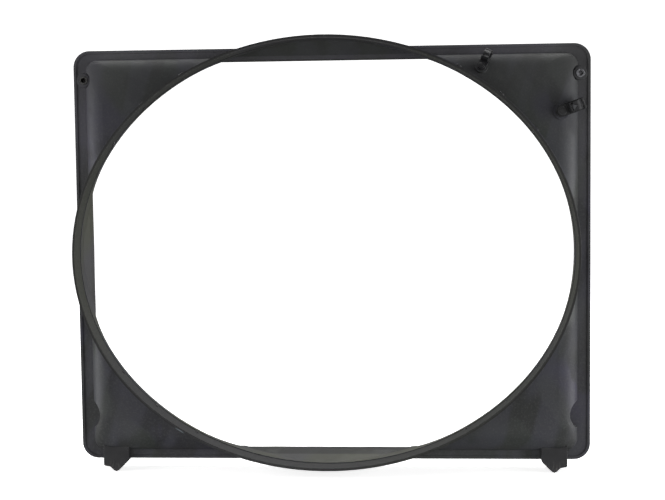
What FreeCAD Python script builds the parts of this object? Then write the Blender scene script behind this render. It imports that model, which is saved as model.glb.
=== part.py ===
import FreeCAD, Part
import os
from math import cos, pi, radians, sin

# Radiator fan shroud, millimetres.
# Each piece is drawn lying on its back: x to the right, y up the car, and depth from the
# radiator face towards the engine. stand_up() then turns it so that Z is up, the engine side
# faces -Y and the origin is on the fan axis in the plane of the radiator face.

# Depth levels from the radiator face
SEAL_DEPTH = 5.0
LAND_DEPTH = 7.5
FLANGE_BACK = 19.5
FLANGE_FRONT = 22.0
PAN_FACE = 37.0
RING_SEAT = 40.0
COLLAR_TOP = 47.0
RING_RIM = 63.0
WALL = 3.0

# Mounting flange, its centre measured from the fan axis
FLANGE_X = 5.0
FLANGE_Y = -2.5
FLANGE_WIDTH = 535.0
FLANGE_HEIGHT = 430.0
FLANGE_CORNER = 17.0
LIP_WIDTH = 3.0
LIP_HEIGHT = 0.8

# Pan that rises from the flange: a low upright wall, then a broad quarter-oval shoulder
PAN_WIDTH = 508.0
PAN_HEIGHT = 410.0
PAN_CORNER = 12.0
SHOULDER_RUN = 20.0
SHOULDER_RISE = 13.0
SHOULDER_STEPS = 6
CORNER_GROWTH = 0.75

# Skirt behind the flange, and the land that carries the seal
SKIRT_X = FLANGE_X - 1.0
SKIRT_Y = FLANGE_Y - 2.0
SKIRT_WIDTH = 513.0
SKIRT_HEIGHT = 414.5
SKIRT_CORNER = 13.0
LAND_REACH = 5.0
SEAL_WIDTH = LAND_REACH + WALL
SEAL_GAP = 0.5

# Oval ring and the collar that it plugs into (half width and half height, outside)
RING_A = 258.0
RING_B = 221.0
RING_WALL = 2.2
RIM_BEAD = 0.6
RIM_BEAD_DEPTH = 4.0
RING_FIT = 0.1
COLLAR_WALL = 2.5
COLLAR_A = RING_A + RING_FIT + COLLAR_WALL
COLLAR_B = RING_B + RING_FIT + COLLAR_WALL
BORE_A = RING_A - WALL
BORE_B = RING_B - WALL

# Hood: how far its slopes spread from the skirt's straight edges up to the ring's seat
SIDE_FLARE = 11.3
TOP_FLARE = 20.5
HOOD_WALL = 3.4

# Rivets that hold the ring, three to each corner of the pan
RIVET_TURNS = [quarter * 90 + turn for quarter in range(4) for turn in (34, 46, 58)]
RIVET_LEVEL = 43.5
RIVET_SHANK_R = 1.6
RIVET_HEAD_R = 2.8
RIVET_HEAD_T = 0.9
RIVET_HOLE_R = 1.7
RIVET_TAIL_R = 2.3
RIVET_TAIL_T = 0.6
RIVET_FIT = 0.05
PEG_RIVET_HEAD_R = 2.6

# Corner bolt holes with their closed threaded inserts
HOLE_X = 257.0
HOLE_Y = 184.5
HOLE_POCKET_R = 9.0
HOLE_PAD_R = 7.0
HOLE_PAD_T = 1.5
INSERT_BRIM_R = 4.3
INSERT_BRIM_T = 0.8
INSERT_BARREL_R = 3.5
INSERT_LENGTH = 12.0
INSERT_BULGE_R = 4.6
INSERT_BULGE_T = 1.6
INSERT_BORE_R = 2.5
INSERT_BORE = 9.0
INSERT_FIT = 0.05

# Pockets low on both sides
LOBE_X = 262.5
LOBE_Y = -166.5
LOBE_R = 17.0

# Locating pegs
PEG_X = 229.8
PEG_HALF = 13.3
PEG_TOP = -190.0
PEG_SHOULDER = -221.2
PEG_TIP = -227.3
PEG_FRONT = 32.0
PEG_TONGUE_BACK = 9.0
PEG_TONGUE_TOP = FLANGE_HEIGHT / -2.0 - 0.3
PEG_RIVET_DX = 7.0
PEG_RIVET_Y = -212.2
PEG_RIVET_REACH = 7.0

# Harness clips: u along the clip away from its rivet, v across it, w off the surface
CLIP_HALF = 6.0
CLIP_PLATE = 2.4
CLIP_LIFT = 0.25
TROUGH_U = 13.6
TROUGH_W = 8.2
TROUGH_R = 5.2
JAW_WALL = 1.9
JAW_HALF = 4.8
HINGE_U = 22.0
HINGE_W = 5.5
HINGE_R = 1.1
KNUCKLE_R = 2.5
KNUCKLE_HALF = 2.4
KNUCKLE_GAP = 0.3
PIN_FIT = 0.05
EAR_THICK = 2.4
CLIP_TAIL = 24.6
TAIL_CORNER = 3.0
WINDOW_LONG = 7.4
WINDOW_WIDE = 5.6
JAW_TIP_ANGLE = 128.0
LATCH_TIP_ANGLE = 106.0
PUSH_R = 3.3
PUSH_HEAD_R = 4.6
PUSH_HEAD_T = 1.6
PUSH_HEAD_LEVEL = CLIP_LIFT + CLIP_PLATE + 0.25
PUSH_LEGS_TOP = -5.5
PUSH_LEGS = 9.0
PUSH_BULB_R = 4.3
PUSH_BORE_R = 1.6
PUSH_SLOT = 1.0
CLIP_PAD_R = 8.5
SIDE_CLIP_X = 236.5
SIDE_CLIP_Y = 145.6
SIDE_CLIP_PAD = 1.0
SIDE_CLIP_TURN = 20.0
UPPER_CLIP_X = 156.0
UPPER_CLIP_Y = 191.5
UPPER_CLIP_PAD = 1.0
UPPER_CLIP_TURN = 63.0
UPPER_CLIP_TILT = 20.0
UPPER_CLIP_SCALE = 0.75

V = FreeCAD.Vector
UP = V(0, 0, 1)


def stand_up(shape):
    """Turn a piece from lying on its back to standing as it does in the car."""
    upright = shape.copy()
    upright.rotate(V(0, 0, 0), V(1, 0, 0), 90)
    return upright


def save(name, shape):
    """Write one piece, or one group of like pieces, to its own file."""
    stand_up(shape).exportStep(os.path.join("parts", name + ".step"))


def rounded_wire(x, y, width, height, radius, depth):
    """Rectangle with rounded corners, centred on x, y."""
    right = width / 2 - radius
    top = height / 2 - radius
    edges = []
    for quarter, (cx, cy) in enumerate([(right, top), (-right, top), (-right, -top), (right, -top)]):
        start = quarter * pi / 2
        centre = V(x + cx, y + cy, depth)
        first = centre + V(cos(start), sin(start), 0) * radius
        middle = centre + V(cos(start + pi / 4), sin(start + pi / 4), 0) * radius
        last = centre + V(cos(start + pi / 2), sin(start + pi / 2), 0) * radius
        if edges:
            edges.append(Part.makeLine(edges[-1].Vertexes[-1].Point, first))
        edges.append(Part.Arc(first, middle, last).toShape())
    edges.append(Part.makeLine(edges[-1].Vertexes[-1].Point, edges[0].Vertexes[0].Point))
    return Part.Wire(edges)


def block(x, y, width, height, radius, low, high):
    """Upright prism on a rounded rectangle."""
    face = Part.Face(rounded_wire(x, y, width, height, radius, low))
    return face.extrude(V(0, 0, high - low))


def oval(a, b, low, high):
    """Upright prism on an oval about the fan axis, with half width a and half height b."""
    outline = Part.Ellipse(V(0, 0, low), a, b).toShape()
    return Part.Face(Part.Wire(outline)).extrude(V(0, 0, high - low))


def post(x, y, radius, low, high):
    """Round post along the depth axis."""
    return Part.makeCylinder(radius, high - low, V(x, y, low), UP)


def both_sides(x, y, radius, low, high):
    """The same post on the left and on the right of the flange centre."""
    left = post(FLANGE_X - x, FLANGE_Y + y, radius, low, high)
    right = post(FLANGE_X + x, FLANGE_Y + y, radius, low, high)
    return left.fuse(right)


def domed_block(offset):
    """The pan's form, moved inwards by the offset: an upright wall under a quarter-oval shoulder."""
    width = PAN_WIDTH - 2 * offset
    height = PAN_HEIGHT - 2 * offset
    corner = PAN_CORNER - offset
    run = SHOULDER_RUN - offset / 2
    rise = SHOULDER_RISE - offset / 2
    top = PAN_FACE - offset
    prism = block(FLANGE_X, FLANGE_Y, width, height, corner, FLANGE_BACK, top - rise)
    sections = []
    for step in range(SHOULDER_STEPS + 1):
        turn = step / SHOULDER_STEPS * pi / 2
        inset = run * (1 - cos(turn))
        radius = corner + CORNER_GROWTH * inset
        level = top - rise + rise * sin(turn)
        sections.append(rounded_wire(FLANGE_X, FLANGE_Y, width - 2 * inset, height - 2 * inset,
                                     radius, level))
    dome = Part.makeLoft(sections, True, False)
    return prism.fuse(dome)


def hood_slopes(offset):
    """Funnel that opens from the skirt's straight edges towards the ring, grown by the offset."""
    width = SKIRT_WIDTH - 2 * WALL + 2 * offset
    height = SKIRT_HEIGHT - 2 * WALL + 2 * offset
    corner = SKIRT_CORNER - WALL + offset
    low = rounded_wire(SKIRT_X, SKIRT_Y, width, height, corner, FLANGE_BACK)
    high = rounded_wire(SKIRT_X, SKIRT_Y + (TOP_FLARE - SIDE_FLARE) / 2, width + 2 * SIDE_FLARE,
                        height + SIDE_FLARE + TOP_FLARE, corner, RING_SEAT)
    return Part.makeLoft([low, high], True, True)


def clip_seats():
    """Each harness clip's seat: origin on the pad, length axis, lift axis and scale."""
    side_turn = radians(SIDE_CLIP_TURN)
    side_length = V(cos(side_turn), sin(side_turn), 0)
    side_origin = V(FLANGE_X + SIDE_CLIP_X, FLANGE_Y + SIDE_CLIP_Y, PAN_FACE + SIDE_CLIP_PAD)

    turn = radians(UPPER_CLIP_TURN)
    tilt = radians(UPPER_CLIP_TILT)
    upper_lift = V(0, sin(tilt), cos(tilt))
    up_the_slope = V(0, cos(tilt), -sin(tilt))
    upper_length = V(1, 0, 0) * cos(turn) + up_the_slope * sin(turn)
    on_the_slope = V(FLANGE_X + UPPER_CLIP_X, FLANGE_Y + UPPER_CLIP_Y, PAN_FACE)
    upper_origin = on_the_slope + upper_lift * UPPER_CLIP_PAD
    return {
        "upper_clip": (upper_origin, upper_length, upper_lift, UPPER_CLIP_SCALE),
        "side_clip": (side_origin, side_length, UP, 1.0),
    }


def seat(shape, origin, length, lift, scale):
    """Move a clip piece from its own axes to its place on the shroud."""
    across_axis = lift.cross(length)
    matrix = FreeCAD.Matrix(
        length.x, across_axis.x, lift.x, origin.x,
        length.y, across_axis.y, lift.y, origin.y,
        length.z, across_axis.z, lift.z, origin.z,
        0, 0, 0, 1,
    )
    placed = shape.scaled(scale)
    placed.Placement = FreeCAD.Placement(matrix)
    return placed


# ---------------------------------------------------------------- shroud frame

def flange_plate():
    """Flat flange with a low lip round its front edge."""
    plate = block(FLANGE_X, FLANGE_Y, FLANGE_WIDTH, FLANGE_HEIGHT, FLANGE_CORNER,
                  FLANGE_BACK, FLANGE_FRONT)
    rim = block(FLANGE_X, FLANGE_Y, FLANGE_WIDTH, FLANGE_HEIGHT, FLANGE_CORNER,
                FLANGE_FRONT, FLANGE_FRONT + LIP_HEIGHT)
    inside = block(FLANGE_X, FLANGE_Y, FLANGE_WIDTH - 2 * LIP_WIDTH, FLANGE_HEIGHT - 2 * LIP_WIDTH,
                   FLANGE_CORNER - LIP_WIDTH, FLANGE_FRONT, FLANGE_FRONT + LIP_HEIGHT)
    return plate.fuse(rim.cut(inside)).removeSplitter()


def pan_and_skirt(offset):
    """Pan before the flange and skirt behind it, moved inwards by the offset, with all pockets."""
    hole_pockets = both_sides(HOLE_X, HOLE_Y, HOLE_POCKET_R + offset, -1, COLLAR_TOP)
    lobes = both_sides(LOBE_X, LOBE_Y, LOBE_R + offset, FLANGE_BACK, COLLAR_TOP)
    pan = domed_block(offset).cut(lobes)
    start = SEAL_DEPTH if offset == 0 else -1
    skirt = block(SKIRT_X, SKIRT_Y, SKIRT_WIDTH - 2 * offset, SKIRT_HEIGHT - 2 * offset,
                  SKIRT_CORNER - offset, start, FLANGE_BACK)
    return pan.fuse(skirt).cut(hole_pockets)


def seal_land():
    """Narrow ledge round the skirt's back edge that the foam sticks to."""
    hole_pockets = both_sides(HOLE_X, HOLE_Y, HOLE_POCKET_R, -1, COLLAR_TOP)
    land = block(SKIRT_X, SKIRT_Y, SKIRT_WIDTH + 2 * LAND_REACH, SKIRT_HEIGHT + 2 * LAND_REACH,
                 SKIRT_CORNER + LAND_REACH, SEAL_DEPTH, LAND_DEPTH)
    return land.cut(hole_pockets)


def outer_form():
    """Everything that the frame's outside encloses."""
    hood = hood_slopes(HOOD_WALL).common(oval(COLLAR_A, COLLAR_B, FLANGE_BACK, RING_SEAT))
    collar = oval(COLLAR_A, COLLAR_B, RING_SEAT, COLLAR_TOP)
    form = flange_plate().fuse([pan_and_skirt(0), seal_land(), hood, collar])
    for place in clip_seats().values():
        pad = post(0, 0, CLIP_PAD_R, -12, 0)
        form = form.fuse(seat(pad, *place))
    return form.removeSplitter()


def inner_form():
    """The air space inside the frame, kept one wall thickness from its outside."""
    hood = hood_slopes(0).common(oval(BORE_A, BORE_B, FLANGE_BACK, RING_SEAT))
    socket = oval(RING_A + RING_FIT, RING_B + RING_FIT, RING_SEAT, COLLAR_TOP + 1)
    form = pan_and_skirt(WALL).fuse([hood, socket])
    for place in clip_seats().values():
        hollow = post(0, 0, CLIP_PAD_R - WALL, -12, -WALL)
        form = form.fuse(seat(hollow, *place))
    return form.removeSplitter()


def shroud_frame():
    """The moulded body with every hole that a fastener goes through."""
    shell = outer_form().cut(inner_form()).removeSplitter()
    pads = both_sides(HOLE_X, HOLE_Y, HOLE_PAD_R, FLANGE_BACK, FLANGE_FRONT + HOLE_PAD_T)
    shell = shell.fuse(pads).removeSplitter()
    holes = [both_sides(HOLE_X, HOLE_Y, INSERT_BARREL_R + INSERT_FIT, FLANGE_BACK - 1, FLANGE_FRONT + 2)]
    for place in clip_seats().values():
        holes.append(seat(post(0, 0, PUSH_R + PIN_FIT, -12, 4), *place))
    holes += [ring_rivet_hole(turn) for turn in RIVET_TURNS]
    holes += [peg_rivet_hole(x) for x in peg_rivet_places()]
    return shell.cut(holes).removeSplitter()


# ------------------------------------------------------------------- fan ring

def fan_ring():
    """Oval tube with a bead round its rim."""
    tube = oval(RING_A, RING_B, RING_SEAT, RING_RIM)
    bead = oval(RING_A + RIM_BEAD, RING_B + RIM_BEAD, RING_RIM - RIM_BEAD_DEPTH, RING_RIM)
    ring = tube.fuse(bead).cut(oval(RING_A - RING_WALL, RING_B - RING_WALL, RING_SEAT, RING_RIM))
    return ring.cut([ring_rivet_hole(turn) for turn in RIVET_TURNS]).removeSplitter()


def ring_rivet_axis(turn):
    """Point on the ring's outside and the outward direction, at this turn about the fan axis."""
    angle = radians(turn)
    point = V(RING_A * cos(angle), RING_B * sin(angle), RIVET_LEVEL)
    outward = V(RING_B * cos(angle), RING_A * sin(angle), 0).normalize()
    return point, outward


def ring_rivet_hole(turn):
    """Hole through the collar and the ring for one rivet."""
    point, outward = ring_rivet_axis(turn)
    return Part.makeCylinder(RIVET_HOLE_R, 20, point - outward * 10, outward)


def ring_rivets():
    """Hollow rivets: a flat head outside the collar and a flared end inside the ring."""
    rivets = []
    for turn in RIVET_TURNS:
        point, outward = ring_rivet_axis(turn)
        head_at = RING_FIT + COLLAR_WALL + RIVET_FIT
        tail_at = -RING_WALL - RIVET_FIT - RIVET_TAIL_T
        shank = Part.makeCylinder(RIVET_SHANK_R, head_at - tail_at, point + outward * tail_at, outward)
        head = Part.makeCylinder(RIVET_HEAD_R, RIVET_HEAD_T, point + outward * head_at, outward)
        tail = Part.makeCylinder(RIVET_TAIL_R, RIVET_TAIL_T, point + outward * tail_at, outward)
        bore = Part.makeCylinder(RIVET_SHANK_R / 2, WALL, point + outward * tail_at, outward)
        rivets.append(shank.fuse([head, tail]).cut(bore).removeSplitter())
    return Part.Compound(rivets)


# ----------------------------------------------------------- pegs, seals, inserts

def peg_outline(side, depth):
    """Front view of a locating peg: square shoulder outside, pointed foot, chamfer inside."""
    centre = FLANGE_X + side * PEG_X
    corners = [
        (-PEG_HALF, PEG_TOP),
        (-PEG_HALF, PEG_SHOULDER + 6.5),
        (-PEG_HALF + 1.6, PEG_SHOULDER + 3.8),
        (-2.6, PEG_TIP + 1.2),
        (0.0, PEG_TIP),
        (2.6, PEG_TIP + 1.2),
        (6.4, PEG_SHOULDER - 1.2),
        (PEG_HALF - 0.9, PEG_SHOULDER),
        (PEG_HALF, PEG_SHOULDER + 0.9),
        (PEG_HALF, PEG_TOP),
    ]
    points = [V(centre + side * x, FLANGE_Y + y, depth) for x, y in corners]
    return Part.Face(Part.makePolygon(points + points[:1]))


def locating_peg(side, frame_outside):
    """Lug that stands on the flange against the pan, with a tongue that reaches back below it."""
    lug = peg_outline(side, FLANGE_FRONT).extrude(V(0, 0, PEG_FRONT - FLANGE_FRONT))
    lug = lug.cut(frame_outside)
    tongue = peg_outline(side, PEG_TONGUE_BACK).extrude(V(0, 0, PEG_FRONT - PEG_TONGUE_BACK))
    below = Part.makeBox(4 * PEG_HALF, 30, PEG_FRONT,
                         V(FLANGE_X + side * PEG_X - 2 * PEG_HALF, FLANGE_Y + PEG_TONGUE_TOP - 30, 0))
    peg = lug.fuse(tongue.common(below))
    return peg.cut([peg_rivet_hole(x) for x in peg_rivet_places()]).removeSplitter()


def peg_rivet_places():
    """The four rivets' distances along the flange: two in each peg."""
    return [FLANGE_X + side * PEG_X + offset
            for side in (-1, 1) for offset in (-PEG_RIVET_DX, PEG_RIVET_DX)]


def peg_rivet_hole(x):
    """Blind hole from behind the flange into a peg."""
    y = FLANGE_Y + PEG_RIVET_Y
    return post(x, y, RIVET_HOLE_R, FLANGE_BACK - 1, FLANGE_FRONT + PEG_RIVET_REACH + 0.5)


def peg_rivets():
    """Rivets with flat heads behind the flange."""
    y = FLANGE_Y + PEG_RIVET_Y
    rivets = []
    for x in peg_rivet_places():
        head_top = FLANGE_BACK - RIVET_FIT
        shank = post(x, y, RIVET_SHANK_R, head_top, FLANGE_FRONT + PEG_RIVET_REACH)
        head = post(x, y, PEG_RIVET_HEAD_R, head_top - RIVET_HEAD_T, head_top)
        rivets.append(shank.fuse(head).removeSplitter())
    return Part.Compound(rivets)


def seal_strip(x, y, width, height):
    """Straight foam strip, centred on x, y, behind the land."""
    return Part.makeBox(width, height, SEAL_DEPTH, V(x - width / 2, y - height / 2, 0))


def seals():
    """Four foam strips: two across, and two upright between them that stop below the bolt holes."""
    centre_x = SKIRT_WIDTH / 2 + LAND_REACH - SEAL_WIDTH / 2
    centre_y = SKIRT_HEIGHT / 2 + LAND_REACH - SEAL_WIDTH / 2
    across_width = SKIRT_WIDTH - SKIRT_CORNER
    side_low = SKIRT_Y - centre_y + SEAL_WIDTH / 2 + SEAL_GAP
    side_high = FLANGE_Y + HOLE_Y - HOLE_POCKET_R - SEAL_GAP
    side_middle = (side_low + side_high) / 2
    side_height = side_high - side_low
    return {
        "seal_top": seal_strip(SKIRT_X, SKIRT_Y + centre_y, across_width, SEAL_WIDTH),
        "seal_bottom": seal_strip(SKIRT_X, SKIRT_Y - centre_y, across_width, SEAL_WIDTH),
        "seal_left": seal_strip(SKIRT_X - centre_x, side_middle, SEAL_WIDTH, side_height),
        "seal_right": seal_strip(SKIRT_X + centre_x, side_middle, SEAL_WIDTH, side_height),
    }


def mount_insert(side):
    """Closed rivet nut: a brim in front, a bulge squeezed out behind the flange and a blind bore."""
    x = FLANGE_X + side * HOLE_X
    y = FLANGE_Y + HOLE_Y
    face = FLANGE_FRONT + HOLE_PAD_T
    mouth = face + INSERT_BRIM_T
    barrel = post(x, y, INSERT_BARREL_R, mouth - INSERT_LENGTH, mouth)
    brim = post(x, y, INSERT_BRIM_R, face, mouth)
    bulge_top = FLANGE_BACK - INSERT_FIT
    bulge = post(x, y, INSERT_BULGE_R, bulge_top - INSERT_BULGE_T, bulge_top)
    bore = post(x, y, INSERT_BORE_R, mouth - INSERT_BORE, mouth)
    return barrel.fuse([brim, bulge]).cut(bore).removeSplitter()


# ---------------------------------------------------------------- harness clips

def cross_rod(radius, u, w, half):
    """Rod lying across the clip."""
    return Part.makeCylinder(radius, 2 * half, V(u, -half, w), V(0, 1, 0))


def sector(start, stop):
    """Wedge of the trough between two angles in degrees, across the whole clip."""
    reach = 2 * TROUGH_R
    points = [V(TROUGH_U, -JAW_HALF, TROUGH_W)]
    for angle in (start, (start + stop) / 2, stop):
        turn = radians(angle)
        points.append(V(TROUGH_U + reach * cos(turn), -JAW_HALF, TROUGH_W + reach * sin(turn)))
    return Part.Face(Part.makePolygon(points + points[:1])).extrude(V(0, 2 * JAW_HALF, 0))


def trough_wall():
    """Round wall that both jaws are cut from."""
    outside = cross_rod(TROUGH_R + JAW_WALL, TROUGH_U, TROUGH_W, JAW_HALF)
    return outside.cut(cross_rod(TROUGH_R, TROUGH_U, TROUGH_W, JAW_HALF))


def clip_base():
    """Plate with a round head end, the fixed jaw, a window under the trough and two knuckles."""
    head = post(0, 0, CLIP_HALF, CLIP_LIFT, CLIP_LIFT + CLIP_PLATE)
    plate = Part.makeBox(CLIP_TAIL, 2 * CLIP_HALF, CLIP_PLATE, V(0, -CLIP_HALF, CLIP_LIFT))
    corners = [edge for edge in plate.Edges
               if abs(edge.tangentAt(edge.FirstParameter).z) > 0.9 and edge.CenterOfMass.x > 1]
    plate = plate.makeFillet(TAIL_CORNER, corners)
    fixed_jaw = trough_wall().common(sector(JAW_TIP_ANGLE, 275))
    body = head.fuse([plate, fixed_jaw])
    window = Part.makeBox(WINDOW_LONG, WINDOW_WIDE, 8, V(TROUGH_U - WINDOW_LONG / 2, -WINDOW_WIDE / 2, -2))
    body = body.cut(window)
    for side in (-1, 1):
        near = side * (KNUCKLE_HALF + KNUCKLE_GAP + EAR_THICK / 2) - EAR_THICK / 2
        ear = Part.makeCylinder(KNUCKLE_R, EAR_THICK, V(HINGE_U, near, HINGE_W), V(0, 1, 0))
        foot = Part.makeBox(2 * KNUCKLE_R, EAR_THICK, HINGE_W - CLIP_LIFT,
                            V(HINGE_U - KNUCKLE_R, near, CLIP_LIFT))
        body = body.fuse(ear.fuse(foot))
    body = body.cut(cross_rod(HINGE_R + PIN_FIT, HINGE_U, HINGE_W, CLIP_HALF + 1))
    return body.cut(post(0, 0, PUSH_R + PIN_FIT, -2, 10)).removeSplitter()


def clip_latch():
    """Curved strap that closes over the trough, with a notched tip and one hinge knuckle."""
    strap = trough_wall().common(sector(-22, LATCH_TIP_ANGLE))
    tip = TROUGH_U + (TROUGH_R + JAW_WALL) * cos(radians(LATCH_TIP_ANGLE))
    notch_corners = [V(tip - 3, -3.2, TROUGH_W), V(tip + 3.4, 0, TROUGH_W), V(tip - 3, 3.2, TROUGH_W)]
    notch = Part.Face(Part.makePolygon(notch_corners + notch_corners[:1])).extrude(V(0, 0, 2 * TROUGH_R))
    strap = strap.cut(notch)
    knuckle = cross_rod(KNUCKLE_R, HINGE_U, HINGE_W, KNUCKLE_HALF)
    arm = Part.makeBox(4.2, 2 * KNUCKLE_HALF, 3.0, V(HINGE_U - 3.4, -KNUCKLE_HALF, HINGE_W))
    arm = arm.cut(cross_rod(TROUGH_R + 0.6, TROUGH_U, TROUGH_W, CLIP_HALF))
    latch = strap.fuse([knuckle, arm])
    for side in (-1, 1):
        near = side * (KNUCKLE_HALF + CLIP_HALF / 2) - CLIP_HALF / 2
        clearance = Part.makeCylinder(KNUCKLE_R + 0.4, CLIP_HALF, V(HINGE_U, near, HINGE_W), V(0, 1, 0))
        latch = latch.cut(clearance)
    return latch.cut(cross_rod(HINGE_R + PIN_FIT, HINGE_U, HINGE_W, CLIP_HALF)).removeSplitter()


def clip_hinge_pin():
    """Straight pin through the base's knuckles and the latch's."""
    return cross_rod(HINGE_R, HINGE_U, HINGE_W, KNUCKLE_HALF + KNUCKLE_GAP + EAR_THICK)


def clip_rivet():
    """Push rivet: a wide head, a shank through plate and pan, and split legs with a bulb."""
    head = post(0, 0, PUSH_HEAD_R, PUSH_HEAD_LEVEL, PUSH_HEAD_LEVEL + PUSH_HEAD_T)
    front_edge = max(head.Edges, key=lambda edge: edge.CenterOfMass.z)
    head = head.makeFillet(0.6, [front_edge])
    shank = post(0, 0, PUSH_R, PUSH_LEGS_TOP, PUSH_HEAD_LEVEL)
    bulb = Part.makeCone(PUSH_R, PUSH_BULB_R, 2.0, V(0, 0, PUSH_LEGS_TOP), -UP)
    point = Part.makeCone(PUSH_BULB_R, 2.2, PUSH_LEGS - 2.0, V(0, 0, PUSH_LEGS_TOP - 2.0), -UP)
    rivet = head.fuse([shank, bulb, point])
    foot = PUSH_LEGS_TOP - PUSH_LEGS
    rivet = rivet.cut(post(0, 0, PUSH_BORE_R, foot - 1, PUSH_HEAD_LEVEL + PUSH_HEAD_T + 1))
    for turn in (0, 90):
        slot = Part.makeBox(20, PUSH_SLOT, PUSH_LEGS + 1, V(-10, -PUSH_SLOT / 2, foot - 1))
        slot.rotate(V(0, 0, 0), UP, turn)
        rivet = rivet.cut(slot)
    return rivet.removeSplitter()


def clip_rivet_pin():
    """Centre pin that spreads the rivet's legs, with a small round head."""
    top = PUSH_HEAD_LEVEL + PUSH_HEAD_T
    pin = post(0, 0, PUSH_BORE_R - PIN_FIT, PUSH_LEGS_TOP - PUSH_LEGS + 1.5, top)
    return pin.fuse(post(0, 0, 2.5, top, top + 0.8)).removeSplitter()


os.makedirs("parts", exist_ok=True)

save("shroud_frame", shroud_frame())
save("fan_ring", fan_ring())
save("ring_rivets", ring_rivets())
outside = outer_form()
save("left_locating_peg", locating_peg(-1, outside))
save("right_locating_peg", locating_peg(1, outside))
save("peg_rivets", peg_rivets())
for name, strip in seals().items():
    save(name, strip)
save("left_mount_insert", mount_insert(-1))
save("right_mount_insert", mount_insert(1))
for clip, place in clip_seats().items():
    save(clip + "_base", seat(clip_base(), *place))
    save(clip + "_latch", seat(clip_latch(), *place))
    save(clip + "_hinge_pin", seat(clip_hinge_pin(), *place))
    save(clip + "_rivet", seat(clip_rivet(), *place))
    save(clip + "_rivet_pin", seat(clip_rivet_pin(), *place))
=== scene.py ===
import bpy
from math import cos, pi, radians, sin
from mathutils import Matrix, Vector


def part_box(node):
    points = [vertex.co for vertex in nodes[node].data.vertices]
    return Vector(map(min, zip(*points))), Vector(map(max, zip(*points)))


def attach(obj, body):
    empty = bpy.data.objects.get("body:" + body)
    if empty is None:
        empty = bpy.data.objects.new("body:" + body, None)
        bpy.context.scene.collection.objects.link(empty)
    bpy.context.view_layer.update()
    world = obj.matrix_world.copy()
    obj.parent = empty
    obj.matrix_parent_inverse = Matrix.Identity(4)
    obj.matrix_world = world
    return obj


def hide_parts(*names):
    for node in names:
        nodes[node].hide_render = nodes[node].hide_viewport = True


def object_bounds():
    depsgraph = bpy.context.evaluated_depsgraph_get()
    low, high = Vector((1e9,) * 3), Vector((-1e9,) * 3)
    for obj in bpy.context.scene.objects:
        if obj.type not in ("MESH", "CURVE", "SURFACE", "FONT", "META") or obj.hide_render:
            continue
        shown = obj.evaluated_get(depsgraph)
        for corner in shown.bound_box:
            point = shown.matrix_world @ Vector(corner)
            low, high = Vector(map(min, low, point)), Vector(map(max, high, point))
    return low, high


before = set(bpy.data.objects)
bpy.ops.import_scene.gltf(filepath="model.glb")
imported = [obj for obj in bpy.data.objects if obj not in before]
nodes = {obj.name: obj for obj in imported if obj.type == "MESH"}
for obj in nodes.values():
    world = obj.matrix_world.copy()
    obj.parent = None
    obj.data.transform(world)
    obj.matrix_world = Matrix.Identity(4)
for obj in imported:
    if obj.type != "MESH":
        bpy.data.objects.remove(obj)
cad_low, cad_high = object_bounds()

# ---------------------------------------------------------------- camera
# Eye-level view of the engine side, a little from the right and from above, with a long lens.
# It leans a hair to one side, as a camera held in the hand does.
eye = Vector((0.0974, -1.4154, 0.1039))
aim = Vector((0.0064, -0.0220, 0.0027))
lean_angle = radians(-0.673)
focal_length = 72.707
nearest_seen = 0.05
bpy.ops.object.select_all(action="DESELECT")
bpy.ops.object.camera_add(location=eye)
camera = bpy.context.object
look = (aim - eye).to_track_quat("-Z", "Y")
camera.rotation_euler = (look.to_matrix() @ Matrix.Rotation(lean_angle, 3, "Z")).to_euler()
camera.data.lens = focal_length
camera.data.clip_start = nearest_seen
bpy.context.scene.camera = camera

# ---------------------------------------------------------------- shroud frame
# One injection moulding in charcoal glass-filled nylon: flange, pan, skirt and hood in a 3 mm
# wall. The tool left a fine matt grain, the melt left streaks, and heat and grime have mottled
# it. Its colour also holds painted shade over the upper pan, its upper corners and low inside
# the skirt, painted light on the flange towards the top, and dust mixed with painted light on
# faces that look up or inwards. It carries every other piece.


class Wire:
    """One value in a finish's node tree: arithmetic on it adds Math nodes."""

    def __init__(self, finish, socket):
        self.finish = finish
        self.socket = socket

    def __add__(self, other):
        return self.finish.math("ADD", self, other)

    __radd__ = __add__

    def __sub__(self, other):
        return self.finish.math("SUBTRACT", self, other)

    def __rsub__(self, other):
        return self.finish.math("SUBTRACT", other, self)

    def __neg__(self):
        return self.finish.math("SUBTRACT", 0.0, self)

    def __mul__(self, other):
        return self.finish.math("MULTIPLY", self, other)

    __rmul__ = __mul__

    def __truediv__(self, other):
        return self.finish.math("DIVIDE", self, other)

    def root(self):
        return self.finish.math("SQRT", self)


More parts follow.
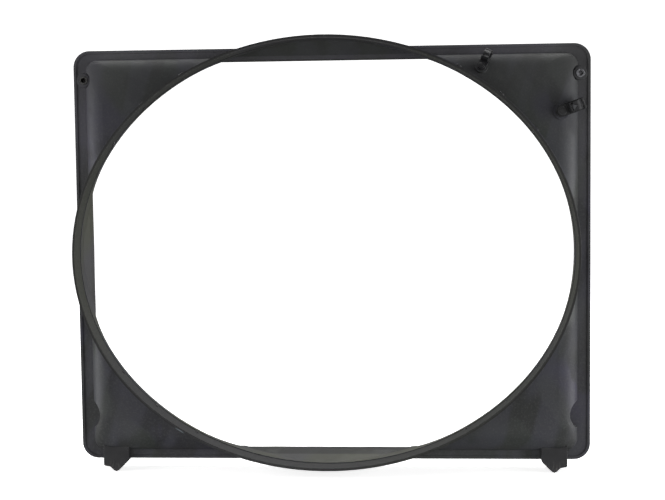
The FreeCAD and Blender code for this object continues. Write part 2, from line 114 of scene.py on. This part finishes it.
class Finish:
    """A procedural finish: its material, its node tree and the shader that the tree feeds."""

    def __init__(self, name, constants):
        self.material = bpy.data.materials.new(name)
        self.material.use_nodes = True
        self.tree = self.material.node_tree
        self.shader = self.tree.nodes["Principled BSDF"]
        self.feed(self.shader, constants)
        self.place = self.node("ShaderNodeTexCoord", {}, {}, "Object")
        self.facing = self.node("ShaderNodeNewGeometry", {}, {}, "Normal")

    def feed(self, node, sockets):
        """Link a wire, or write a constant, into each named input."""
        for key, value in sockets.items():
            if isinstance(value, Wire):
                self.tree.links.new(value.socket, node.inputs[key])
            else:
                node.inputs[key].default_value = value

    def node(self, kind, settings, sockets, output=0):
        """A new node with these settings and inputs, as the wire from one of its outputs."""
        made = self.tree.nodes.new(kind)
        for key, value in settings.items():
            setattr(made, key, value)
        self.feed(made, sockets)
        return Wire(self, made.outputs[output])

    def math(self, operation, first, second=0.0):
        return self.node("ShaderNodeMath", {"operation": operation}, {0: first, 1: second})

    def noise(self, stretch, detail=3.0, rough=0.55, shift=(0, 0, 0), lean=0.0):
        """Noise with this many features to the metre along each axis, leaned in the X-Z plane."""
        leaned = self.node("ShaderNodeMapping", {},
                           {"Vector": self.place, "Rotation": (0, lean, 0)})
        at = self.node("ShaderNodeMapping", {},
                       {"Vector": leaned, "Scale": stretch, "Location": shift})
        return self.node("ShaderNodeTexNoise", {},
                         {"Vector": at, "Scale": 1.0, "Detail": detail, "Roughness": rough}, "Fac")

    def band(self, value, low, high):
        """0 below low, 1 above high, smooth between."""
        return self.node("ShaderNodeMapRange", {"interpolation_type": "SMOOTHSTEP"},
                         {"Value": value, "From Min": low, "From Max": high})

    def axis(self, vector, name):
        return self.node("ShaderNodeSeparateXYZ", {}, {0: vector}, name)

    def along(self, first, second):
        """How far the first vector goes along the second."""
        return self.node("ShaderNodeVectorMath", {"operation": "DOT_PRODUCT"},
                         {0: first, 1: second}, "Value")

    def blend(self, amount, first, second):
        """From the first colour to the second: a mix's sockets 6, 7 and 2 are its colour ones."""
        return self.node("ShaderNodeMix", {"data_type": "RGBA"},
                         {0: amount, 6: first, 7: second}, 2)

    def coats(self, base, *layers):
        """The base colour under layers of (how much, which colour), the last one on top."""
        for amount, colour in layers:
            base = self.blend(amount, base, colour)
        return base

    def round_edges(self, radius):
        """The surface's normal with its sharp edges eased to this radius."""
        return self.node("ShaderNodeBevel", {"samples": 6}, {"Radius": radius})

    def wear(self, eased):
        """1 along the edges that the eased normal rounds, 0 on the open surface."""
        return self.band(1.0 - self.along(eased, self.facing), 0.01, 0.14)

    def bump(self, height, distance, strength, under):
        """The normal under it, roughened by this height of so many metres."""
        return self.node("ShaderNodeBump", {}, {"Height": height, "Distance": distance,
                                                "Strength": strength, "Normal": under})

    def finish(self, **inputs):
        """Feed the shader and give the material."""
        names = {"colour": "Base Color", "rough": "Roughness", "metal": "Metallic",
                 "normal": "Normal"}
        self.feed(self.shader, {names[key]: value for key, value in inputs.items()})
        return self.material


def dress(finish, *names):
    """Put a finish on CAD nodes' own material slots."""
    for name in names:
        mesh = nodes[name].data
        mesh.materials.clear()
        mesh.materials.append(finish)


charcoal = Finish("charcoal_moulding", {"Specular IOR Level": 0.3})

# Where on the frame: its flange, what faces up or inwards, the upper corners, the lower half
middle = (cad_low.x + cad_high.x) / 2
sideways = charcoal.axis(charcoal.place, "X") - middle
depth = charcoal.axis(charcoal.place, "Y")
height = charcoal.axis(charcoal.place, "Z")
eased = charcoal.round_edges(0.0009)
edges = charcoal.wear(eased)
before_skirt = 1.0 - charcoal.band(depth, -0.0205, -0.0195)
flange = charcoal.band(depth, -0.0245, -0.0232) * before_skirt
upper_pan = charcoal.band(height, 0.06, 0.19) * (1.0 - flange)
far_out = charcoal.band(sideways * sideways, 0.050, 0.066)
upper_corners = far_out * charcoal.band(height, 0.14, 0.20)
upward = charcoal.band(charcoal.axis(charcoal.facing, "Z"), 0.2, 0.9)
inward = charcoal.band(-charcoal.along(charcoal.facing, charcoal.place), 0.05, 0.18)
below_top = 1.0 - charcoal.band(height, 0.10, 0.20)
low_down = 1.0 - charcoal.band(height, -0.15, -0.05)
skirt_inside = inward * charcoal.band(depth, -0.0265, -0.0240) * low_down

# What varies: broad leaning patches and streaks, clouds, violet tints, specks and the grain
patches = charcoal.band(
    charcoal.noise((20, 20, 11), detail=3.0, rough=0.5, shift=(3.1, 0, 7.4), lean=0.45),
    0.46, 0.53)
streaks = charcoal.band(
    charcoal.noise((38, 38, 8), detail=2.0, rough=0.4, shift=(1.7, 2, 4.2), lean=-0.3),
    0.44, 0.58)
tints = charcoal.band(
    charcoal.noise((15, 15, 9), detail=1.0, rough=0.4, shift=(5.3, 6, 2.8), lean=0.2),
    0.42, 0.54)
clouds = charcoal.noise((30, 30, 30), detail=5.0, rough=0.62, shift=(9, 4, 1))
speckle = charcoal.noise((520, 520, 520), detail=2.0, rough=0.7)
grain = charcoal.noise((1900, 1900, 1900), detail=1.0)

green_grey = (0.033, 0.037, 0.034, 1)
violet_grey = (0.040, 0.038, 0.060, 1)
dark_patch = (0.024, 0.025, 0.025, 1)
pale_streak = (0.064, 0.064, 0.084, 1)
cloud_grey = (0.050, 0.050, 0.050, 1)
flange_painted_light_grey = (0.066, 0.064, 0.072, 1)
pale_speck = (0.090, 0.090, 0.090, 1)
settled_dust_and_light = (0.10, 0.095, 0.088, 1)
worn_edge = (0.12, 0.12, 0.12, 1)
upper_pan_painted_shade = (0.026, 0.027, 0.027, 1)
upper_corner_painted_shade = (0.026, 0.026, 0.027, 1)
yellow_dust_and_light = (0.078, 0.080, 0.060, 1)
pale_dust_and_light = (0.073, 0.073, 0.072, 1)
skirt_painted_shade = (0.026, 0.027, 0.026, 1)
tone = charcoal.coats(
    charcoal.blend(tints, green_grey, violet_grey),
    (patches * 0.75, dark_patch),
    (streaks * 0.45, pale_streak),
    (charcoal.band(clouds, 0.35, 0.7) * 0.4, cloud_grey),
    # The flange is painted paler, more so towards the top: painted light on its upper part.
    (flange * (0.12 + 0.45 * charcoal.band(height, 0.0, 0.2)), flange_painted_light_grey),
    (charcoal.band(speckle, 0.48, 0.68) * 0.25, pale_speck),
    # Up-facing faces lightened in patches: settled dust and painted light from above.
    (upward * charcoal.band(clouds, 0.4, 0.65) * 0.3, settled_dust_and_light),
    (edges * charcoal.band(clouds, 0.35, 0.6) * 0.3, worn_edge),
    # The pan darkened towards its top: painted shade over the top light's highlight.
    (upper_pan * 0.6, upper_pan_painted_shade),
    # The upper corners darkened: painted shade that mutes their shoulder highlights.
    (upper_corners * 0.6, upper_corner_painted_shade),
    # Inward faces lightened, most of all low down: dust and painted light from above.
    (inward * (0.1 + 0.6 * below_top), charcoal.blend(tints, yellow_dust_and_light, pale_dust_and_light)),
    # The inside of the skirt low down is darkened: painted shade.
    (skirt_inside * 0.85, skirt_painted_shade))
skin = charcoal.bump(grain, distance=0.00005, strength=0.5, under=eased)
skin = charcoal.bump(speckle, distance=0.00022, strength=0.35, under=skin)
matt = 0.40 + 0.2 * clouds + 0.1 * patches + 0.16 * upper_pan
dress(charcoal.finish(colour=tone, normal=skin, rough=matt), "shroud_frame")

# ---------------------------------------------------------------- fan ring
# An oval hoop in the same nylon, moulded on its own and pushed into the frame's collar. Its wall
# shows the tool's fine turned lines and fan dust has dulled its sides. Painted shade darkens it
# low down, and a painted shadow line runs along the outer edge of its rim.
ringed = Finish("turned_ring_moulding", {"Specular IOR Level": 0.3})

# Where on the ring: 1 is its outside, to the side or up and down
ring_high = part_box("fan_ring")[1]
across = ringed.axis(ringed.place, "X") / ring_high.x
upright = ringed.axis(ringed.place, "Z") / ring_high.z
reach = (across * across + upright * upright).root()
rim_front = ringed.band(-ringed.axis(ringed.place, "Y"), 0.0600, 0.0612)
above_bottom = ringed.band(upright, -0.95, -0.6)
outer_edge = rim_front * ringed.band(reach, 0.990, 0.993) * above_bottom
side_dust = ringed.band(across * across, 0.56, 1.0)
lower_ring = ringed.band(-upright, 0.5, 0.9)
ring_eased = ringed.round_edges(0.0007)
ring_edges = ringed.wear(ring_eased)

# What varies: the turned lines, clouds, tints and specks
lines = ringed.noise((7, 620, 7), detail=3.0, rough=0.6)
fine_lines = ringed.noise((16, 1500, 16), detail=1.0, rough=0.5, shift=(2, 5, 1))
ring_clouds = ringed.noise((26, 26, 26), detail=5.0, rough=0.62, shift=(4, 4, 4))
ring_speckle = ringed.noise((560, 560, 560), detail=2.0, rough=0.7)
ring_tints = ringed.band(
    ringed.noise((8, 8, 8), detail=1.0, rough=0.4, shift=(1, 2, 6)), 0.42, 0.58)

# A pale scrape low on the left of the rim, turned to run along it
scrape_at = (-0.151, -0.0625, -0.180)
scrape_size = (0.008, 0.004, 0.0016)
scrape_turn = radians(31.6)
on_scrape = ringed.node("ShaderNodeMapping", {"vector_type": "TEXTURE"},
                        {"Vector": ringed.place, "Location": scrape_at,
                         "Rotation": (0, scrape_turn, 0), "Scale": scrape_size})
scrape = ringed.node("ShaderNodeTexGradient", {"gradient_type": "SPHERICAL"},
                     {"Vector": on_scrape}, "Fac")

ring_green = (0.024, 0.026, 0.022, 1)
ring_grey = (0.028, 0.028, 0.031, 1)
fan_dust = (0.050, 0.052, 0.040, 1)
line_grey = (0.060, 0.060, 0.057, 1)
ring_speck = (0.095, 0.095, 0.090, 1)
low_painted_shade = (0.015, 0.015, 0.015, 1)
ring_worn = (0.13, 0.13, 0.125, 1)
rim_painted_shadow = (0.010, 0.010, 0.010, 1)
scraped = (0.16, 0.19, 0.21, 1)
tone = ringed.coats(
    ringed.blend(ring_tints, ring_green, ring_grey),
    (side_dust * 0.62, fan_dust),
    (ringed.band(lines, 0.4, 0.68) * 0.35, line_grey),
    (ringed.band(ring_speckle, 0.5, 0.66) * 0.42, ring_speck),
    # The ring darkened towards its bottom: painted shade.
    (lower_ring * 0.5, low_painted_shade),
    (ring_edges * 0.12, ring_worn),
    # A dark line along the outer edge of the rim's front, above the bottom: a painted shadow line.
    (outer_edge * 0.9, rim_painted_shadow),
    (ringed.band(scrape, 0.1, 0.6) * 0.8, scraped))
skin = ringed.bump(lines, distance=0.00025, strength=0.4, under=ring_eased)
skin = ringed.bump(fine_lines, distance=0.00008, strength=0.5, under=skin)
skin = ringed.bump(ring_speckle, distance=0.0002, strength=0.3, under=skin)
dress(ringed.finish(colour=tone, normal=skin, rough=0.46 + 0.2 * ring_clouds), "fan_ring")

# ---------------------------------------------------------------- ring rivets and peg rivets
# Blind aluminium rivets, black coated: three through the collar and the ring at each corner, and
# two up into each peg from behind the flange. Handling has worn the coating off their edges.
coated = Finish("black_coated_rivet", {"Specular IOR Level": 0.5})
coated_eased = coated.round_edges(0.0004)
coated_edges = coated.wear(coated_eased)
chips = coated.noise((900, 900, 900), detail=3.0, rough=0.6)
bare = coated_edges * coated.band(chips, 0.52, 0.6)
black_coat = (0.020, 0.020, 0.022, 1)
faded_coat = (0.034, 0.033, 0.033, 1)
bare_aluminium = (0.42, 0.42, 0.43, 1)
tone = coated.coats(coated.blend(coated.band(chips, 0.4, 0.7), black_coat, faded_coat),
                    (bare, bare_aluminium))
skin = coated.bump(chips, distance=0.00006, strength=0.4, under=coated_eased)
dress(coated.finish(colour=tone, metal=bare, rough=0.42 + 0.15 * chips - 0.1 * bare, normal=skin),
      "ring_rivets", "peg_rivets")

# ---------------------------------------------------------------- locating pegs
# Two solid lugs in black nylon that stand on the flange against the pan. They drop into the
# radiator's brackets, so their feet are scuffed.
lug = Finish("peg_nylon", {"Specular IOR Level": 0.3})
foot = 1.0 - lug.band(lug.axis(lug.place, "Z"), -0.229, -0.214)
lug_clouds = lug.noise((90, 90, 90), detail=4.0, rough=0.6)
scuffs = lug.noise((900, 900, 140), detail=2.0, rough=0.6)
lug_eased = lug.round_edges(0.0011)
lug_edges = lug.wear(lug_eased)
lug_black = (0.012, 0.012, 0.013, 1)
lug_grey = (0.032, 0.032, 0.034, 1)
scuffed = (0.11, 0.105, 0.1, 1)
lug_worn = (0.11, 0.11, 0.11, 1)
tone = lug.coats(lug.blend(lug_clouds, lug_black, lug_grey),
                 (foot * lug.band(scuffs, 0.5, 0.62) * 0.5, scuffed),
                 (lug_edges * lug.band(lug_clouds, 0.4, 0.6) * 0.4, lug_worn))
skin = lug.bump(scuffs, distance=0.00012, strength=0.5, under=lug_eased)
dress(lug.finish(colour=tone, rough=0.44 + 0.2 * lug_clouds, normal=skin),
      "left_locating_peg", "right_locating_peg")

# ---------------------------------------------------------------- threaded inserts
# Two closed rivet nuts crimped into the flange's upper corners. The right one is bright; the
# left one is painted darker and given a rougher finish.


def plated(name, clean, stained, stain_from, rough):
    """Zinc plate on turned steel, stained where the noise is above stain_from."""
    steel = Finish(name, {"Specular IOR Level": 0.5, "Metallic": 1.0})
    steel_eased = steel.round_edges(0.0003)
    stains = steel.noise((700, 700, 700), detail=4.0, rough=0.65)
    tone = steel.blend(steel.band(stains, stain_from, stain_from + 0.15), clean, stained)
    skin = steel.bump(stains, distance=0.00004, strength=0.4, under=steel_eased)
    return steel.finish(colour=tone, rough=rough + 0.25 * stains, normal=skin)


bright_zinc = plated("bright_zinc", clean=(0.20, 0.20, 0.215, 1), stained=(0.06, 0.06, 0.06, 1),
                     stain_from=0.45, rough=0.25)
dark_rough_zinc = plated("dark_rough_zinc", clean=(0.10, 0.10, 0.10, 1), stained=(0.05, 0.048, 0.046, 1),
                     stain_from=0.42, rough=0.5)
dress(bright_zinc, "right_mount_insert")
dress(dark_rough_zinc, "left_mount_insert")

# ---------------------------------------------------------------- foam seals
# Four strips of soft open-cell foam stuck behind the land: one along the top, one along the
# bottom, and one up each side. Their edges are cut square and have rounded with pressure.
foam = Finish("black_open_cell_foam", {"Specular IOR Level": 0.15})
cells = foam.node("ShaderNodeTexVoronoi", {}, {"Vector": foam.place, "Scale": 900.0}, "Distance")
pores = foam.band(cells, 0.15, 0.6)
foam_clouds = foam.noise((60, 60, 60), detail=4.0, rough=0.6)
pore_black = (0.010, 0.010, 0.010, 1)
foam_grey = (0.040, 0.040, 0.042, 1)
foam_dust = (0.075, 0.072, 0.066, 1)
tone = foam.coats(foam.blend(pores, pore_black, foam_grey),
                  (foam.band(foam_clouds, 0.5, 0.75) * 0.5, foam_dust))
skin = foam.bump(pores, distance=0.0005, strength=0.7, under=foam.facing)
foam_skin = foam.finish(colour=tone, rough=0.85 + 0.1 * pores, normal=skin)
waves = bpy.data.textures.new("foam_waves", "CLOUDS")
waves.noise_scale = 0.03
wave_height = 0.0006
foam_margin = 0.00035
foam_edge_radius = 0.0016
foam_step = 0.008


def foam_strip(node):
    """A crowned strip, a hair smaller than the CAD's plain one, cut along its length and eased."""
    low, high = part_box(node)
    low = low + Vector((foam_margin, foam_margin, foam_margin))
    high = high - Vector((foam_margin, foam_margin, foam_margin))
    centre = (low + high) / 2
    size = high - low
    bpy.ops.object.select_all(action="DESELECT")
    bpy.ops.mesh.primitive_cube_add(size=1, location=(0, 0, 0))
    strip = bpy.context.object
    strip.name = node + "_foam"
    bpy.ops.object.mode_set(mode="EDIT")
    bpy.ops.transform.resize(value=size)
    bpy.ops.transform.translate(value=centre)
    bpy.ops.mesh.bevel(offset=foam_edge_radius, segments=3, affect="EDGES")
    long_axis = 0 if size.x > size.z else 2
    lengthwise = Vector((0, 0, 0))
    lengthwise[long_axis] = 1
    cuts = int(size[long_axis] / foam_step)
    for cut in range(1, cuts):
        at = centre.copy()
        at[long_axis] = low[long_axis] + size[long_axis] * cut / cuts
        bpy.ops.mesh.select_all(action="SELECT")
        bpy.ops.mesh.bisect(plane_co=at, plane_no=lengthwise)
    bpy.ops.mesh.select_all(action="SELECT")
    bpy.ops.mesh.normals_make_consistent(inside=False)
    bpy.ops.object.mode_set(mode="OBJECT")
    swell = strip.modifiers.new("waves", "DISPLACE")
    swell.texture = waves
    swell.texture_coords = "GLOBAL"
    swell.strength = wave_height
    swell.mid_level = 0.95
    bpy.ops.object.modifier_apply(modifier=swell.name)
    bpy.ops.object.shade_smooth_by_angle(angle=radians(50))
    strip.data.materials.append(foam_skin)
    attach(strip, "shroud")
    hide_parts(node)


for seal in ("seal_top", "seal_bottom", "seal_left", "seal_right"):
    foam_strip(seal)

# ---------------------------------------------------------------- harness clips
# Each clip is a base and a latch in black nylon. The base turns about its push rivet and the
# latch opens on a steel pin, so both are rubbed shiny along their edges.
nylon = Finish("black_clip_nylon", {"Specular IOR Level": 0.32})
nylon_clouds = nylon.noise((260, 260, 260), detail=4.0, rough=0.6)
nylon_grain = nylon.noise((2600, 2600, 2600), detail=1.0)
nylon_eased = nylon.round_edges(0.0006)
nylon_edges = nylon.wear(nylon_eased)
nylon_black = (0.006, 0.006, 0.007, 1)
nylon_grey = (0.016, 0.016, 0.018, 1)
nylon_worn = (0.06, 0.06, 0.062, 1)
tone = nylon.coats(nylon.blend(nylon_clouds, nylon_black, nylon_grey),
                   (nylon_edges * nylon.band(nylon_clouds, 0.45, 0.65) * 0.4, nylon_worn))
skin = nylon.bump(nylon_grain, distance=0.00004, strength=0.5, under=nylon_eased)
skin = nylon.bump(nylon_clouds, distance=0.0003, strength=0.3, under=skin)
gloss = 0.38 + 0.2 * nylon_clouds - 0.1 * nylon_edges
dress(nylon.finish(colour=tone, rough=gloss, normal=skin),
      "upper_clip_base", "upper_clip_latch", "side_clip_base", "side_clip_latch")

# ---------------------------------------------------------------- clip hinge pins
# Short ground steel pins pressed into the knuckles of the clips' bases, so that the latches
# turn on them. They are dull with age.
pin_steel = plated("aged_pin_steel", clean=(0.20, 0.195, 0.19, 1), stained=(0.08, 0.07, 0.06, 1),
                   stain_from=0.5, rough=0.38)
dress(pin_steel, "upper_clip_hinge_pin", "side_clip_hinge_pin")

# ---------------------------------------------------------------- clip push rivets
# A split nylon rivet holds each clip to its pad, and a driven pin spreads its legs. The nylon
# is unfilled, so it is smoother and glossier than the clip.
push = Finish("push_rivet_nylon", {"Specular IOR Level": 0.35})
push_clouds = push.noise((400, 400, 400), detail=3.0, rough=0.6)
push_eased = push.round_edges(0.0005)
push_black = (0.010, 0.010, 0.011, 1)
push_grey = (0.024, 0.024, 0.026, 1)
tone = push.blend(push_clouds, push_black, push_grey)
skin = push.bump(push_clouds, distance=0.0001, strength=0.4, under=push_eased)
dress(push.finish(colour=tone, rough=0.32 + 0.2 * push_clouds, normal=skin),
      "upper_clip_rivet", "upper_clip_rivet_pin", "side_clip_rivet", "side_clip_rivet_pin")

# ---------------------------------------------------------------- floor and lights
# A plain pale studio bowl: a round floor whose edge curves up into a wall all the way round. It
# glows a little, so it stays pale from every side. Softboxes above, to both sides, behind and in
# front light the part evenly, and a faint white world fills the shadows.
floor_radius = 2.6
curve_radius = 0.8
curve_steps = 8
wall_height = 3
bpy.ops.object.select_all(action="DESELECT")
bpy.ops.mesh.primitive_circle_add(vertices=96, radius=1, fill_type="NGON", location=(0, 0, 0))
bowl = bpy.context.object
bowl.name = "studio_bowl"
bpy.ops.object.mode_set(mode="EDIT")
bpy.ops.transform.resize(value=(floor_radius, floor_radius, 1))
bpy.ops.transform.translate(value=(0, 0, cad_low.z))
radius = floor_radius
for step in range(1, curve_steps + 1):
    before = (step - 1) / curve_steps * pi / 2
    after = step / curve_steps * pi / 2
    rise = curve_radius * (cos(before) - cos(after))
    wider = floor_radius + curve_radius * sin(after)
    bpy.ops.mesh.extrude_region_move(TRANSFORM_OT_translate={"value": (0, 0, rise)})
    bpy.ops.transform.resize(value=(wider / radius, wider / radius, 1))
    radius = wider
bpy.ops.mesh.extrude_region_move(TRANSFORM_OT_translate={"value": (0, 0, wall_height)})
bpy.ops.mesh.delete(type="ONLY_FACE")
bpy.ops.object.mode_set(mode="OBJECT")
bpy.ops.object.shade_smooth()
paper = Finish("pale_paper", {"Specular IOR Level": 0.1, "Roughness": 0.9,
                              "Emission Color": (1, 1, 1, 1), "Emission Strength": 0.8})
paper_tone = paper.blend(paper.noise((3, 3, 3)), (0.90, 0.90, 0.90, 1), (0.93, 0.93, 0.93, 1))
bowl.data.materials.append(paper.finish(colour=paper_tone))
bowl.visible_diffuse = False
bowl.visible_glossy = False
bowl.visible_shadow = False


def softbox(name, place, target, size, power):
    """An area light of this size and power in watts, turned to its target."""
    bpy.ops.object.select_all(action="DESELECT")
    bpy.ops.object.light_add(type="AREA", location=place)
    lamp = bpy.context.object
    lamp.name = name
    lamp.rotation_euler = (Vector(target) - Vector(place)).to_track_quat("-Z", "Y").to_euler()
    lamp.data.shape = "RECTANGLE"
    lamp.data.size, lamp.data.size_y = size
    lamp.data.energy = power


softbox("top_light", place=(0, 0.35, 1.8), target=(0, 0, -0.1), size=(2.4, 1.0), power=46)
softbox("left_light", place=(-1.9, -0.7, 0.1), target=(0, 0, 0), size=(1.2, 1.6), power=37)
softbox("right_light", place=(1.9, -0.7, -0.1), target=(0, 0, 0), size=(1.2, 1.6), power=42)
softbox("back_light", place=(0, 1.7, 1.2), target=(0, 0, -0.1), size=(1.6, 0.8), power=6)
softbox("front_light", place=(0, -2.6, -0.2), target=(0, 0, -0.1), size=(3.0, 1.4), power=15)

white = (1, 1, 1, 1)
world_glow = 0.14
world = bpy.data.worlds.new("studio")
bpy.context.scene.world = world
world.use_nodes = True
world.node_tree.nodes["Background"].inputs["Color"].default_value = white
world.node_tree.nodes["Background"].inputs["Strength"].default_value = world_glow
bpy.context.scene.view_settings.view_transform = "Standard"
